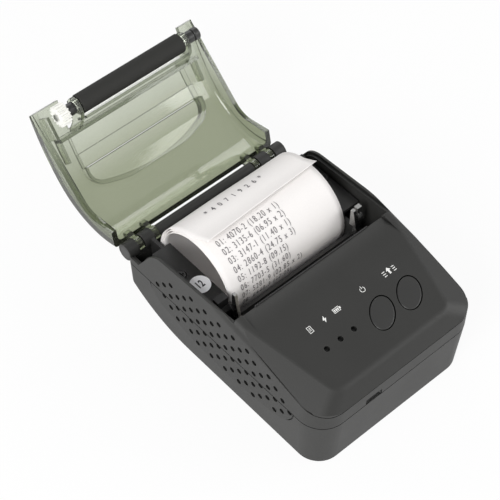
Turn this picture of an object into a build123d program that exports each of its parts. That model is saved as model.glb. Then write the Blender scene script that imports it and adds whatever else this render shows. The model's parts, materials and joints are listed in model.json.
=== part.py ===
from build123d import *
from math import acos, atan2, cos, degrees, hypot, pi, radians, sin, sqrt, tan
import os

# Portable receipt printer, standing on its flat base with the paper cover swung open.
# Millimetres. +Z is up, -Y is the front with the charging socket, +X is the side of the feed button.
# The origin is the centre of the base. The cover's hinge runs along X at the rear.

os.makedirs("parts", exist_ok=True)

# Case
body_width = 80.0
body_depth = 106.0
case_wall = 2.0
seam_height = 23.5
case_draft = 3.6
front_corner_radius = 11.0
rear_corner_radius = 3.0
seam_groove = 0.4
seam_tongue_height = 1.2
seam_tongue_wall = 0.9
fit_gap = 0.1
running_fit = 0.05
panel_gap = 0.3

# Side profile of the case, as heights above the seam, and depths from the roller and the walls
front_crease_rise = 7.3
bevel_depth = 4.5
panel_front_rise = 13.1
panel_slope = 0.191
rail_before_roller = 4.5
lip_before_roller = 3.7
lip_rise = 19.0
dip_depth = 11.0
dip_crest = 0.7
rail_width = 3.0
crease_start_rise = 7.1
crease_slope = 0.299
band_steepness = 0.464
heel_length = 34.0
heel_end_setback = 2.0
heel_end_height = 12.4
heel_height = 21.0
corner_blend = 9.0
panel_blend = 4.0
crease_groove_depth = 0.45

# Grip on each side wall: a raised lens with a staggered grid of dimples
lens_y = 0.8
lens_below_seam = 0.55
lens_end_setback = 14.0
lens_half_height = 13.5
lens_rise = 1.55
lens_groove_width = 0.5
lens_groove_depth = 0.55
dimple_pitch_y = 3.8
dimple_pitch_z = 3.35
dimple_radius = 1.15
dimple_depth = 0.7

# Cover and hinge
hinge_behind_case = 1.3
hinge_above_seam = 3.0
cover_travel = 134.0
cover_wall = 2.2
crown_height = 25.0
crown_from_hinge = 31.0
crown_radius = 82.0
tail_radius = 31.6
rim_gap = 0.4
lip_wall = 1.0
lip_drop = 0.8
cover_end_gap = 0.5
barrel_radius = 3.5
ring_radius = 2.9
bar_radius = 2.5
ring_width = 2.4
barrel_width = 4.9
hinge_side_gap = 0.25
hinge_pin_radius = 1.25

# Platen roller, whose axis is given from the hinge with the cover closed
roller_from_hinge = 55.8
roller_above_hinge = 6.7
roller_radius = 4.0
roller_end_room = 4.0
shaft_radius = 1.5
bush_radius = 2.5
print_gap = 0.4

# Gears
gear_module = 0.5
platen_teeth = 16
idler_teeth = 24
pinion_teeth = 12
wheel_teeth = 28
gear_width = 2.0
gear_play = 0.07
gear_train_width = 6.0
gear_wall_gap = 3.0

# Paper
paper_side_play = 0.25
roll_radius = 20.5
sheet_thickness = 0.35
layer_step = 0.45
roll_half_turns = 5
roll_lift = 2.4
bucket_radius = 21.8
bucket_wall = 1.4
bucket_floor = 5.8
ledge_above_hinge = 10.5
ledge_thickness = 1.5

# Print mechanism
frame_wall = 1.3
frame_foot_height = 5.0
head_thickness = 2.0
ceramic_thickness = 0.6
motor_radius = 6.0
motor_length = 14.0
gear_pin_radius = 1.0
lever_width = 2.2

# Fasteners
screw_radius = 1.0
screw_head_radius = 1.9
screw_head_height = 1.2
boss_radius = 3.2
post_radius = 1.9
case_screw_radius = 1.2
case_screw_head = 2.3

# Electronics and battery
battery_front_room = 5.5
battery_rear_room = 3.9
battery_room_above = 4.2
board_thickness = 1.2
board_below_seam = 1.0
socket_x = -13.8
socket_width = 7.4
socket_height = 2.6
socket_depth = 5.4

# Panel
button_long = 6.95
button_short = 4.6
button_turn = 47.0
button_groove = 0.35
button_edge = 0.55
button_travel = 0.6
button_pitch = 13.7
led_pitch = 6.6
led_hole_radius = 1.15
light_pipe_depth = 1.5

half_width = body_width / 2
front_y = -body_depth / 2
rear_y = body_depth / 2
hinge_y = rear_y + hinge_behind_case
hinge_height = seam_height + hinge_above_seam
inner_x = half_width - case_wall
rail_inner_x = inner_x - rail_width
panel_front_y = front_y + bevel_depth
front_crease_height = seam_height + front_crease_rise
panel_front_height = seam_height + panel_front_rise
crease_start_height = seam_height + crease_start_rise
roller_y = hinge_y - roller_from_hinge
roller_z = hinge_height + roller_above_hinge
rail_y = roller_y - rail_before_roller
lip_y = roller_y - lip_before_roller
lip_height = seam_height + lip_rise
print_face_y = roller_y - roller_radius - print_gap
board_height = seam_height - board_below_seam
board_top = board_height + board_thickness

# Widths from the case's inner walls inwards: gear train, frame plates, paper and roller
gear_side_x = inner_x - gear_wall_gap
frame_inner_x = gear_side_x - gear_train_width
paper_width = 2 * (frame_inner_x - paper_side_play)
roller_length = 2 * (frame_inner_x - roller_end_room)
head_width = 2 * frame_inner_x - 5
lever_x = frame_inner_x + frame_wall + 0.9
bar_half_length = half_width - 15.8

# Places of the print mechanism, given from the roller
mechanism_front_y = roller_y - 9.1
frame_rear_y = roller_y + 4.4
frame_top = roller_z + 5.4
head_top = roller_z + 5.0
head_pivot_z = roller_z - 9.6
motor_y = roller_y - 1.7
motor_z = roller_z - 24.4
lever_pivot_y = roller_y + 2.7
lever_pivot_z = roller_z - 7.2
bucket_y = frame_rear_y + 0.3 + bucket_wall + bucket_radius
bucket_z = bucket_floor + bucket_radius
roll_centre_y = bucket_y - 0.2
roll_centre_z = bucket_z + roll_lift
ledge_height = hinge_height + ledge_above_hinge

# Places in the front compartment, given from the front wall
battery_front_y = front_y + battery_front_room
battery_depth = mechanism_front_y - battery_rear_room - battery_front_y
battery_width = body_width - 22
feed_button_x = half_width - 19.9
button_y = front_y + 17.8
led_first_x = -half_width + 20.4
led_y = front_y + 19.3

case_screw_front = (half_width - 7, front_y + 6.5)
case_screw_rear = (half_width - 4.6, rear_y - 9.5)
board_screw_x = half_width - 7.4
ledge_screw_x = inner_x - 2.1
ledge_screw_y = bucket_y - 0.3
frame_screw_x = frame_inner_x + 4.4
frame_screw_y = roller_y - 7.3


def panel_z(y):
    """Height of the control panel's plane at y."""
    return panel_front_height + panel_slope * (y - panel_front_y)


def closed(out, up):
    """The case's y and z of a point given from the hinge with the cover closed."""
    return hinge_y - out, hinge_height + up


case_screw_places = [(side * x, y) for x, y in (case_screw_front, case_screw_rear) for side in (-1, 1)]
board_screw_rows = (front_y + 16, roller_y - 16.5)
board_screw_places = [(side * board_screw_x, y) for y in board_screw_rows for side in (-1, 1)]
ledge_screw_places = [(side * ledge_screw_x, ledge_screw_y) for side in (-1, 1)]
frame_screw_places = [(side * frame_screw_x, frame_screw_y) for side in (-1, 1)]

# The control panel's plane, with y measured up its slope from the front edge
panel_plane = Plane(
    origin=(0, panel_front_y, panel_front_height), x_dir=(1, 0, 0), z_dir=(0, -panel_slope, 1)
)


def on_panel(x, y):
    """Place a point, given from above, on the panel's plane."""
    return x, (y - panel_front_y) * hypot(1, panel_slope)


# Planes of the cover at rest. On cover_side x runs from the hinge towards the free edge and y away
# from the case. The plane stands on X = 0 and its normal is -X.
rest_angle = radians(180 - cover_travel)
cover_side = Plane(
    origin=(0, hinge_y, hinge_height),
    x_dir=(0, cos(rest_angle), sin(rest_angle)),
    z_dir=(-1, 0, 0),
)
cover_top = Plane(
    origin=(0, hinge_y, hinge_height),
    x_dir=(1, 0, 0),
    z_dir=(0, sin(rest_angle), -cos(rest_angle)),
)


def keep(piece, label):
    """Name a finished piece and write it as its own STEP file."""
    piece.label = label
    export_step(piece, f"parts/{label}.step")


def slab(side_profile, x_low, x_high, plane=Plane.YZ):
    """Extrude a closed side profile from x_low to x_high."""
    along = plane.z_dir.X
    with BuildPart() as solid:
        with BuildSketch(plane.offset(along * x_low)):
            with BuildLine():
                Polyline(*side_profile, close=True)
            make_face()
        extrude(amount=along * (x_high - x_low))
    return solid.part


def rod(radius, x_low, x_high, y, z):
    """A round bar along X."""
    with BuildPart() as solid:
        with BuildSketch(Plane.YZ.offset(x_low)):
            with Locations((y, z)):
                Circle(radius)
        extrude(amount=x_high - x_low)
    return solid.part


def cover_rod(radius, x_low, x_high, out, up):
    """A round bar along X, placed in the cover at rest."""
    with BuildPart() as solid:
        with BuildSketch(cover_side.offset(-x_low)):
            with Locations((out, up)):
                Circle(radius)
        extrude(amount=x_low - x_high)
    return solid.part


def block(x_low, x_high, y_low, y_high, z_low, z_high):
    """A plain block between six limits."""
    with BuildPart() as solid:
        with BuildSketch(Plane.XY.offset(z_low)):
            with Locations(((x_low + x_high) / 2, (y_low + y_high) / 2)):
                Rectangle(x_high - x_low, y_high - y_low)
        extrude(amount=z_high - z_low)
    return solid.part


def plan_sketch(inset):
    """The case seen from above, shrunk by inset, with large front and smaller rear corners."""
    with BuildSketch() as plan:
        Rectangle(body_width - 2 * inset, body_depth - 2 * inset)
        fillet(plan.vertices().group_by(Axis.Y)[0], front_corner_radius - inset)
        fillet(plan.vertices().group_by(Axis.Y)[-1], rear_corner_radius - inset)
    return plan.sketch


def side_solid(profile, half_length, plane=Plane.YZ):
    """Extrude a profile drawn as y and z evenly to both sides of the middle."""
    with BuildPart() as solid:
        with BuildSketch(plane):
            add(profile)
        extrude(amount=half_length, both=True)
    return solid.part


# Rim of the case, which the cover closes on. Its points are given from the hinge, front to rear.
rim_front = (hinge_y - rail_y, 18.0)
rim_knee = (22.5, 15.3)
rim_bend = (17.3, 13.6)
rim_foot = (14.0, 10.0)
rim_toe = (8.2, 0.5)


def shifted(point, toward, gap):
    """A point moved by gap along the unit direction nearest to toward."""
    length = hypot(*toward)
    return point[0] + gap * toward[0] / length, point[1] + gap * toward[1] / length


def rim_line(gap):
    """The rim's five points, moved by gap away from the case."""
    front = shifted(rim_front, (rim_front[1] - rim_knee[1], rim_front[0] - rim_knee[0]), gap)
    knee = shifted(rim_knee, (rim_knee[1] - rim_front[1], rim_front[0] - rim_knee[0]), gap)
    bend = shifted(rim_bend, (-0.6, 0.8), gap)
    foot = shifted(rim_foot, (rim_toe[1] - rim_foot[1], rim_foot[0] - rim_toe[0]), gap)
    toe = shifted(rim_toe, (rim_toe[1] - rim_foot[1], rim_foot[0] - rim_toe[0]), gap)
    return (rim_front[0], front[1]), knee, bend, foot, toe


# Lower case

def heel_profile(inset):
    """Side view of the lower case: flat bottom and a long rounded heel at the rear."""
    rear = rear_y - inset
    with BuildSketch() as profile:
        with BuildLine():
            heel_end = (rear - heel_end_setback, heel_end_height + 0.4 * inset)
            heel = TangentArc((rear_y - heel_length, inset), heel_end, tangent=(1, 0))
            tail_middle = (rear - heel_end_setback / 5, (heel_end_height + heel_height) / 2 - 0.2)
            tail = ThreePointArc(heel @ 1, tail_middle, (rear, heel_height))
            front = front_y - 5
            top = half_width
            Polyline(tail @ 1, (rear, top), (front, top), (front, inset), (rear_y - heel_length, inset))
        make_face()
    return profile.sketch


def lower_form(inset):
    """The lower case as a full solid, shrunk by inset."""
    with BuildPart() as form:
        with BuildSketch(Plane.XY.offset(seam_height)):
            add(plan_sketch(inset))
        extrude(amount=-(seam_height - inset), taper=case_draft)
        add(side_solid(heel_profile(inset), body_width), mode=Mode.INTERSECT)
    return form.part


# Upper case

def upper_profile(inset):
    """Side view of the upper case: front wall, bevel and the panel's plane, shrunk by inset."""
    far = rear_y + 20
    with BuildSketch() as profile:
        Polygon(
            (front_y, 0), (far, 0), (far, panel_z(far)), (panel_front_y, panel_front_height),
            (front_y, front_crease_height), align=None,
        )
        if inset:
            offset(amount=-inset, kind=Kind.INTERSECTION, mode=Mode.REPLACE)
    return profile.sketch


def upper_form(inset):
    """The upper case as a full solid, shrunk by inset, with a sloping band along each side."""
    with BuildPart() as form:
        with BuildSketch(Plane.XY.offset(seam_height)):
            add(plan_sketch(inset))
        extrude(amount=body_width)
        add(side_solid(upper_profile(inset), body_width), mode=Mode.INTERSECT)
        for side in (-1, 1):
            normal = Vector(side * band_steepness, -crease_slope, 1).normalized()
            crease_start = Vector(side * half_width, front_y + 3, crease_start_height)
            with BuildSketch(Plane(origin=crease_start - normal * inset, z_dir=normal)):
                Rectangle(4 * body_depth, 4 * body_depth)
            extrude(amount=body_depth, mode=Mode.SUBTRACT)
    return form.part


def soften(form):
    """Round the panel's outline and the diagonal edges that run to the front corners."""
    with BuildPart() as soft:
        add(form)
        diagonal = soft.edges().filter_by(
            lambda edge: edge.geom_type == GeomType.LINE
            and abs(edge.center().Y - (front_y + 3)) < 0.6
            and abs(edge.center().X) < half_width - 5
            and edge.center().Z > front_crease_height + 1
        )
        fillet(diagonal, corner_blend)
        panel = soft.faces().filter_by(
            lambda face: face.geom_type == GeomType.PLANE
            and abs(face.center().Z - panel_z(face.center().Y)) < 0.01
        )
        outline = panel.edges().filter_by(lambda edge: edge.center().Y < rear_y - 1)
        fillet(outline, panel_blend)
    return soft.part


def crease_z(y):
    """Height of the crease along the side walls at y."""
    return crease_start_height + crease_slope * (y - front_y - 3)


def rim_cutter(gap, half_length, rear_end):
    """Everything above the case's rim line, from the rails back to rear_end."""
    front, knee, bend, foot, toe = [closed(*point) for point in rim_line(gap)]
    with BuildSketch() as profile:
        with BuildLine():
            Line(front, knee)
            ThreePointArc(knee, bend, foot)
            Polyline(foot, toe, (rear_end, toe[1]), (rear_end, body_width), (front[0], body_width), front)
        make_face()
    return side_solid(profile.sketch, half_length)


def dip_cutter():
    """The step between the rails, where the panel falls to the tear edge."""
    dip_front = lip_y - dip_depth
    with BuildSketch() as profile:
        with BuildLine():
            start = (dip_front, panel_z(dip_front))
            slope = TangentArc(start, (lip_y, lip_height), tangent=(1, panel_slope))
            behind = lip_y + lip_before_roller
            Polyline(slope @ 1, (behind, lip_height), (behind, body_width), (dip_front, body_width), start)
        make_face()
    return side_solid(profile.sketch, rail_inner_x)


def hinge_stations():
    """X limits of the knuckles right of the middle: inner ring, inner barrel, outer ring, outer barrel."""
    stations = []
    start = bar_half_length
    for width in (ring_width, barrel_width, ring_width, barrel_width):
        start += hinge_side_gap
        stations.append((start, start + width))
        start += width
    return stations


def both_sides(x_low, x_high):
    """The same X limits on the right and mirrored on the left."""
    return (x_low, x_high), (-x_high, -x_low)


lens_z = seam_height - lens_below_seam
lens_end_y = body_depth / 2 - lens_end_setback
lens_half_length = lens_end_y - 1.5


def lens_sketch():
    """The lower half of the grip's lens, as y and z below the seam."""
    with BuildSketch() as lens:
        with BuildLine():
            heel = ThreePointArc(
                (lens_end_y, seam_height), (lens_end_y - 2.5, seam_height - 4.9),
                (lens_end_y - 8.9, seam_height - 8.5),
            )
            keel = ThreePointArc(heel @ 1, (0, seam_height - 12.8), (7.4 - lens_end_y, seam_height - 9.3))
            nose = ThreePointArc(
                keel @ 1, (2.2 - lens_end_y, seam_height - 5.3), (-lens_end_y, seam_height)
            )
            Line(nose @ 1, heel @ 0)
        make_face()
    return lens.sketch


def lens_groove():
    """The groove that sets the lens off from the drafted wall below it."""
    with BuildSketch() as band:
        add(lens_sketch())
        offset(amount=lens_groove_width)
        add(lens_sketch(), mode=Mode.SUBTRACT)
    with BuildPart() as groove:
        add(side_solid(band.sketch, body_width))
        add(lower_form(lens_groove_depth), mode=Mode.SUBTRACT)
    return groove.part


def dimple_places():
    """Middle points of the grip dimples in a staggered grid inside a lens shape."""
    places = []
    last_column = round(lens_half_length / dimple_pitch_y)
    for column in range(-last_column, last_column + 1):
        for row in range(-5, 6):
            along = column * dimple_pitch_y
            up = row * dimple_pitch_z
            reach = hypot((lens_y + along) / lens_half_length, (up - lens_rise) / lens_half_height)
            if (column + row) % 2 == 0 and reach < 1:
                places.append((lens_y + along, lens_z + up))
    return places


def dimple_cutter(side):
    """The dimples of one side wall, as short rods reaching in from outside."""
    with BuildPart() as cutter:
        with BuildSketch(Plane.YZ.offset(side * (half_width - dimple_depth))):
            with Locations(*dimple_places()):
                Circle(dimple_radius)
        extrude(amount=side * 2 * dimple_depth)
    return cutter.part


def seam_ring(outer_inset, inner_inset, z_low, z_high):
    """A band that follows the case's plan between two insets and two heights."""
    with BuildPart() as ring:
        with BuildSketch(Plane.XY.offset(z_low)):
            add(plan_sketch(outer_inset))
            add(plan_sketch(inner_inset), mode=Mode.SUBTRACT)
        extrude(amount=z_high - z_low)
    return ring.part


def crease_groove():
    """The fine groove that runs round the case along the crease."""
    line = [(front_y - 2, front_crease_height), (front_y + 1.2, front_crease_height)]
    line += [(rail_y, crease_z(rail_y))]
    with BuildPart() as groove:
        add(seam_ring(-1, crease_groove_depth, seam_height + 2, body_width))
        add(
            slab(line + [(y, z - crease_groove_depth) for y, z in reversed(line)], -body_width, body_width),
            mode=Mode.INTERSECT,
        )
    return groove.part


def ring_slots():
    """Room in the case for the cover's hinge rings."""
    inner_ring, _, outer_ring, _ = hinge_stations()
    with BuildPart() as slots:
        for ring in (inner_ring, outer_ring):
            for low, high in both_sides(*ring):
                slot_radius = ring_radius + panel_gap
                add(rod(slot_radius, low - hinge_side_gap, high + hinge_side_gap, hinge_y, hinge_height))
    return slots.part


def posts(places, radius, z_low, z_high):
    """Round posts standing at the given places."""
    with BuildPart() as group:
        with BuildSketch(Plane.XY.offset(z_low)):
            with Locations(*places):
                Circle(radius)
        extrude(amount=z_high - z_low)
    return group.part


def screws(places, radius, head_radius, head_height, seat_z, length, up=1):
    """Screws with round heads on seat_z; up is 1 for heads on top and -1 for heads underneath."""
    with BuildPart() as group:
        with BuildSketch(Plane.XY.offset(seat_z)):
            with Locations(*places):
                Circle(head_radius)
        extrude(amount=up * head_height)
        head_faces = group.faces().filter_by(Axis.Z).group_by(Axis.Z)[-1 if up > 0 else 0]
        rims = head_faces.edges()
        fillet(rims, head_height * 0.3)
        with BuildSketch(Plane.XY.offset(seat_z)):
            with Locations(*places):
                Circle(radius)
        extrude(amount=-up * length)
        with BuildSketch(Plane.XY.offset(seat_z + up * head_height)):
            with Locations(*places):
                Rectangle(head_radius * 1.2, head_radius * 0.28)
                Rectangle(head_radius * 0.28, head_radius * 1.2)
        extrude(amount=-up * head_height * 0.5, mode=Mode.SUBTRACT)
    return group.part


case_screw_seat = 12.0
case_boss_top_front = seam_height + 6.5
case_boss_top_rear = closed(*rim_toe)[1] - 0.2
door_half_width = battery_width / 2 + 1
door_front = battery_front_y - 1.1
door_rear = battery_front_y + battery_depth + 1.3
door_thickness = 1.8
door_pin_radius = 0.6
door_pivot_y = door_front + panel_gap + door_thickness / 2
door_pivot_z = door_thickness / 2
board_front = front_y + case_wall + 0.8
socket_gap = 0.2


def socket_hole():
    """The slot in the front wall that the charging plug goes through."""
    half = socket_width / 2 + socket_gap
    return block(
        socket_x - half, socket_x + half, front_y - 1, front_y + case_wall + 1,
        board_top - socket_gap, board_top + socket_height + socket_gap,
    )


with BuildPart() as lower_posts:
    add(posts(case_screw_places, boss_radius, 0, seam_height))
    add(posts(board_screw_places, post_radius, 0, board_height))
    add(posts(frame_screw_places, post_radius, 0, frame_foot_height))
    add(lower_form(case_wall / 2), mode=Mode.INTERSECT)

with BuildPart() as lower_case:
    add(lower_form(0))
    add(side_solid(lens_sketch(), half_width))
    add(lens_groove(), mode=Mode.SUBTRACT)
    add(lower_form(case_wall), mode=Mode.SUBTRACT)
    add(seam_ring(case_wall - seam_tongue_wall, case_wall, seam_height - 1, seam_height + seam_tongue_height))
    add(lower_posts.part)
    add(posts(ledge_screw_places, post_radius, case_wall / 2, ledge_height - ledge_thickness))
    add(posts(case_screw_places, case_screw_head + panel_gap, -1, case_screw_seat), mode=Mode.SUBTRACT)
    add(posts(case_screw_places, case_screw_radius + running_fit, 0, seam_height + 1), mode=Mode.SUBTRACT)
    add(posts(board_screw_places, screw_radius, board_height - 5, board_height + 1), mode=Mode.SUBTRACT)
    add(posts(frame_screw_places, screw_radius, frame_foot_height - 3.6, frame_foot_height + 1),
        mode=Mode.SUBTRACT)
    add(posts(ledge_screw_places, screw_radius, ledge_height - ledge_thickness - 6, ledge_height),
        mode=Mode.SUBTRACT)
    add(block(-door_half_width, door_half_width, door_front, door_rear, -1, case_wall + 1),
        mode=Mode.SUBTRACT)
    door_pin_reach = door_half_width + 1.3
    add(rod(door_pin_radius + running_fit, -door_pin_reach, door_pin_reach, door_pivot_y, door_pivot_z),
        mode=Mode.SUBTRACT)
    add(socket_hole(), mode=Mode.SUBTRACT)
    add(rod(barrel_radius + panel_gap, -half_width - 1, half_width + 1, hinge_y, hinge_height),
        mode=Mode.SUBTRACT)
    for side in (-1, 1):
        add(dimple_cutter(side), mode=Mode.SUBTRACT)
keep(lower_case.part, "lower_case")


# Upper case

rabbet_depth = 1.2
rabbet_half_width = inner_x + lip_wall + fit_gap
button_places = [(feed_button_x - button_pitch, button_y), (feed_button_x, button_y)]
led_places = [(led_first_x + number * led_pitch, led_y) for number in range(3)]
key_board_screw_y = front_y + 26
key_board_screw_places = [(x, key_board_screw_y) for x in (13.5 - half_width, half_width - 11.5)]
key_board_depth = 7.4
tear_bar_thickness = 0.4


def panel_posts(places, radius, low, high):
    """Round posts square to the control panel, between two depths from its surface."""
    with BuildPart() as group:
        with BuildSketch(panel_plane.offset(low)):
            with Locations(*[on_panel(*place) for place in places]):
                Circle(radius)
        extrude(amount=high - low)
    return group.part


def panel_oval(place, grow, low, high):
    """A button's slanting oval, between two depths from the panel's surface."""
    with BuildPart() as oval:
        with BuildSketch(panel_plane.offset(low)):
            with Locations(on_panel(*place)):
                Ellipse(button_long + grow, button_short + grow, rotation=button_turn)
        extrude(amount=high - low)
    return oval.part


with BuildPart() as dip_roof:
    dip_front = lip_y - dip_depth
    add(slab(
        [
            (dip_front, panel_z(dip_front) - case_wall),
            (dip_front + dip_depth / 2, lip_height + dip_crest - case_wall),
            (lip_y, lip_height - case_wall), (lip_y, body_width), (dip_front, body_width),
        ],
        -rail_inner_x - case_wall, rail_inner_x + case_wall,
    ))

with BuildPart() as panel_cavity:
    add(upper_form(case_wall))
    add(dip_roof.part, mode=Mode.SUBTRACT)

with BuildPart() as bucket_room:
    with BuildSketch(Plane.XY.offset(seam_height)):
        add(plan_sketch(case_wall))
    extrude(amount=body_width)
    add(block(-half_width, half_width, lip_y, rear_y, 0, 2 * body_width), mode=Mode.INTERSECT)

inner_ring_x, inner_barrel_x, outer_ring_x, outer_barrel_x = hinge_stations()
pin_head_radius = 2.3
pin_head_length = 0.8

with BuildPart() as upper_case:
    add(soften(upper_form(0)))
    add(rim_cutter(0, body_width, rear_y + 5), mode=Mode.SUBTRACT)
    add(dip_cutter(), mode=Mode.SUBTRACT)
    add(panel_cavity.part, mode=Mode.SUBTRACT)
    add(bucket_room.part, mode=Mode.SUBTRACT)
    add(rim_cutter(-rabbet_depth, rabbet_half_width, rear_y - case_wall), mode=Mode.SUBTRACT)
    add(posts(case_screw_places[:2], boss_radius, seam_height, case_boss_top_front))
    add(posts(case_screw_places[2:], boss_radius, seam_height, case_boss_top_rear))
    add(seam_ring(case_wall - seam_tongue_wall - fit_gap, case_wall + fit_gap,
                  seam_height - 1, seam_height + seam_tongue_height + fit_gap), mode=Mode.SUBTRACT)
    add(seam_ring(-1, seam_groove, seam_height - 1, seam_height + seam_groove), mode=Mode.SUBTRACT)
    add(posts(case_screw_places, case_screw_radius, seam_height - 1, case_boss_top_rear - 0.5),
        mode=Mode.SUBTRACT)
    add(posts(case_screw_places[:2], case_screw_radius, seam_height - 1, case_boss_top_front - 1),
        mode=Mode.SUBTRACT)
    add(crease_groove(), mode=Mode.SUBTRACT)
    add(panel_posts(key_board_screw_places, post_radius, -key_board_depth, -case_wall / 2))
    add(panel_posts(key_board_screw_places, screw_radius, -key_board_depth - 1, -case_wall),
        mode=Mode.SUBTRACT)
    for place in button_places:
        add(panel_oval(place, button_groove, -2 * case_wall, 1), mode=Mode.SUBTRACT)
    add(panel_posts(led_places, led_hole_radius, -2 * case_wall, 1), mode=Mode.SUBTRACT)
    add(socket_hole(), mode=Mode.SUBTRACT)
    add(ring_slots(), mode=Mode.SUBTRACT)
    add(rod(bar_radius, -bar_half_length, bar_half_length, hinge_y, hinge_height))
    for barrel in (inner_barrel_x, outer_barrel_x):
        for low, high in both_sides(*barrel):
            add(rod(barrel_radius, low, high, hinge_y, hinge_height))
    for low, high in both_sides(bar_half_length - 1.5, half_width + 1):
        add(rod(hinge_pin_radius, low, high, hinge_y, hinge_height), mode=Mode.SUBTRACT)
    for low, high in both_sides(outer_barrel_x[1] - pin_head_length, half_width + 1):
        add(rod(pin_head_radius, low, high, hinge_y, hinge_height), mode=Mode.SUBTRACT)
    for side in (-1, 1):
        add(dimple_cutter(side), mode=Mode.SUBTRACT)
keep(upper_case.part, "upper_case")

with BuildPart() as hinge_pins:
    for low, high in both_sides(bar_half_length - 1.5, outer_barrel_x[1]):
        add(rod(hinge_pin_radius, low, high, hinge_y, hinge_height))
    for low, high in both_sides(outer_barrel_x[1] - pin_head_length, outer_barrel_x[1]):
        add(rod(pin_head_radius, low, high, hinge_y, hinge_height))
keep(hinge_pins.part, "hinge_pins")

with BuildPart() as tear_bar:
    bar_y = lip_y + tear_bar_thickness
    bar_low = lip_height - case_wall - 0.3
    tooth_pitch = 1.0
    tooth_count = round((2 * frame_inner_x - 2) / tooth_pitch)
    tooth_height = 0.55
    with BuildSketch(Plane.XZ.offset(-bar_y)):
        with BuildLine():
            start_x = -tooth_count * tooth_pitch / 2
            teeth = [(start_x, bar_low)]
            for tooth in range(tooth_count):
                teeth.append((start_x + tooth * tooth_pitch, lip_height))
                teeth.append((start_x + (tooth + 0.5) * tooth_pitch, lip_height + tooth_height))
            teeth += [(-start_x, lip_height), (-start_x, bar_low)]
            Polyline(*teeth, close=True)
        make_face()
    extrude(amount=tear_bar_thickness)
keep(tear_bar.part, "tear_bar")


# Cover

tip_out = rim_front[0] - cover_end_gap
crown_centre_up = crown_height - crown_radius
tail_centre_up = crown_height - tail_radius
crown_edge_radius = 1.6
crown_inner_radius = 2.0
heel_out = 8.6
heel_up = 1.9
tail_out = 2.0
tail_up = 5.9
notch_left = 13 - half_width
notch_right = half_width - 7
notch_out = roller_from_hinge - 8.2
dish_half = half_width - 12


def crown_up(out, inset=0.0):
    """Height of the crown above the hinge, with the cover closed."""
    reach = out - crown_from_hinge
    return crown_centre_up + sqrt((crown_radius - inset) ** 2 - reach ** 2)


def crown_sketch(inset, far):
    """Side view of the cover's two arcs, closed off far below."""
    low = -15
    with BuildSketch() as profile:
        with BuildLine():
            crown_radius_here = crown_radius - inset
            tail_radius_here = tail_radius - inset
            front = (far, crown_up(far, inset))
            crest = (crown_from_hinge, crown_height - inset)
            tail = (crown_from_hinge - tail_radius_here, tail_centre_up)
            turn = pi / 4
            middle = (
                crown_from_hinge - tail_radius_here * cos(turn),
                tail_centre_up + tail_radius_here * sin(turn),
            )
            crown_middle = (far + crown_from_hinge) / 2
            ThreePointArc(front, (crown_middle, crown_up(crown_middle, inset)), crest)
            ThreePointArc(crest, middle, tail)
            Polyline(tail, (tail[0], low), (far, low), front)
        make_face()
    return profile.sketch


def cover_form(inset, half_length, far, edge_radius):
    """The cover as a full solid whose upper edges are rounded."""
    with BuildPart() as form:
        with BuildSketch(cover_side):
            add(crown_sketch(inset, far))
        extrude(amount=half_length, both=True)
        edges = form.edges().filter_by(GeomType.CIRCLE).filter_by(
            lambda edge: abs(edge.center().X) > half_length - 0.01
        )
        fillet(edges, edge_radius)
    return form.part


def rim_below(gap, x_low, x_high):
    """Everything below the cover's edge, which stands off the case's rim by gap."""
    front, knee, bend, foot, _ = rim_line(gap)
    slope = ((heel_up - tail_up) / (heel_out - tail_out))
    beyond = tail_out - 8
    with BuildPart() as below:
        with BuildSketch(cover_side.offset(-x_low)):
            with BuildLine():
                Line((front[0] + 2, front[1]), knee)
                ThreePointArc(knee, bend, foot)
                Polyline(
                    foot, (heel_out, heel_up), (beyond, tail_up + slope * (beyond - tail_out)),
                    (beyond, -20), (front[0] + 2, -20), (front[0] + 2, front[1]),
                )
            make_face()
        extrude(amount=x_low - x_high)
    return below.part


def dish_floor(drop):
    """Side view of the finger dish: a ramp down to a step, then a shallow flat."""
    points = [
        (19.3, 21.2), (25.5, 21.6), (31.2, 21.0), (31.2, 23.6), (37.0, 23.5), (37.0, 23.9), (44.3, 23.1),
    ]
    return [(out, up - drop) for out, up in points] + [(44.3 + drop * 0.8, 40), (19.3 - drop * 0.8, 40)]


def dish_form(grow, drop):
    """The finger dish: its U-shaped outline, grown by grow, standing on its floor lowered by drop."""
    with BuildPart() as dish:
        with BuildSketch(cover_top.offset(10)):
            with BuildLine():
                side, corner = dish_half, dish_half - 3.4
                right = ThreePointArc((side, -30), (side - 0.7, -26.4), (corner, -23.7))
                bottom = ThreePointArc(right @ 1, (0, -19.6), (-corner, -23.7))
                left = ThreePointArc(bottom @ 1, (0.7 - side, -26.4), (-side, -30))
                Polyline(left @ 1, (0.5 - side, -44.3), (side - 0.5, -44.3), right @ 0)
            make_face()
            if grow:
                offset(amount=grow)
        extrude(amount=30)
        add(slab(dish_floor(drop), -half_width, half_width, cover_side), mode=Mode.INTERSECT)
    return dish.part


cover_form_full = cover_form(0, half_width, tip_out, crown_edge_radius)
shell_inside = cover_form(cover_wall, half_width - cover_wall, tip_out + 4, crown_inner_radius)

with BuildPart() as dish_wall:
    add(dish_form(1.5, 1.7))
    add(cover_form_full, mode=Mode.INTERSECT)

rib_width = 1.2
ring_arm = [(-0.8, 2.7), (1.9, 5.9), (3.0, 7.0), (5.6, 4.6), (5.0, 2.2), (2.6, 1.0)]

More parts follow.
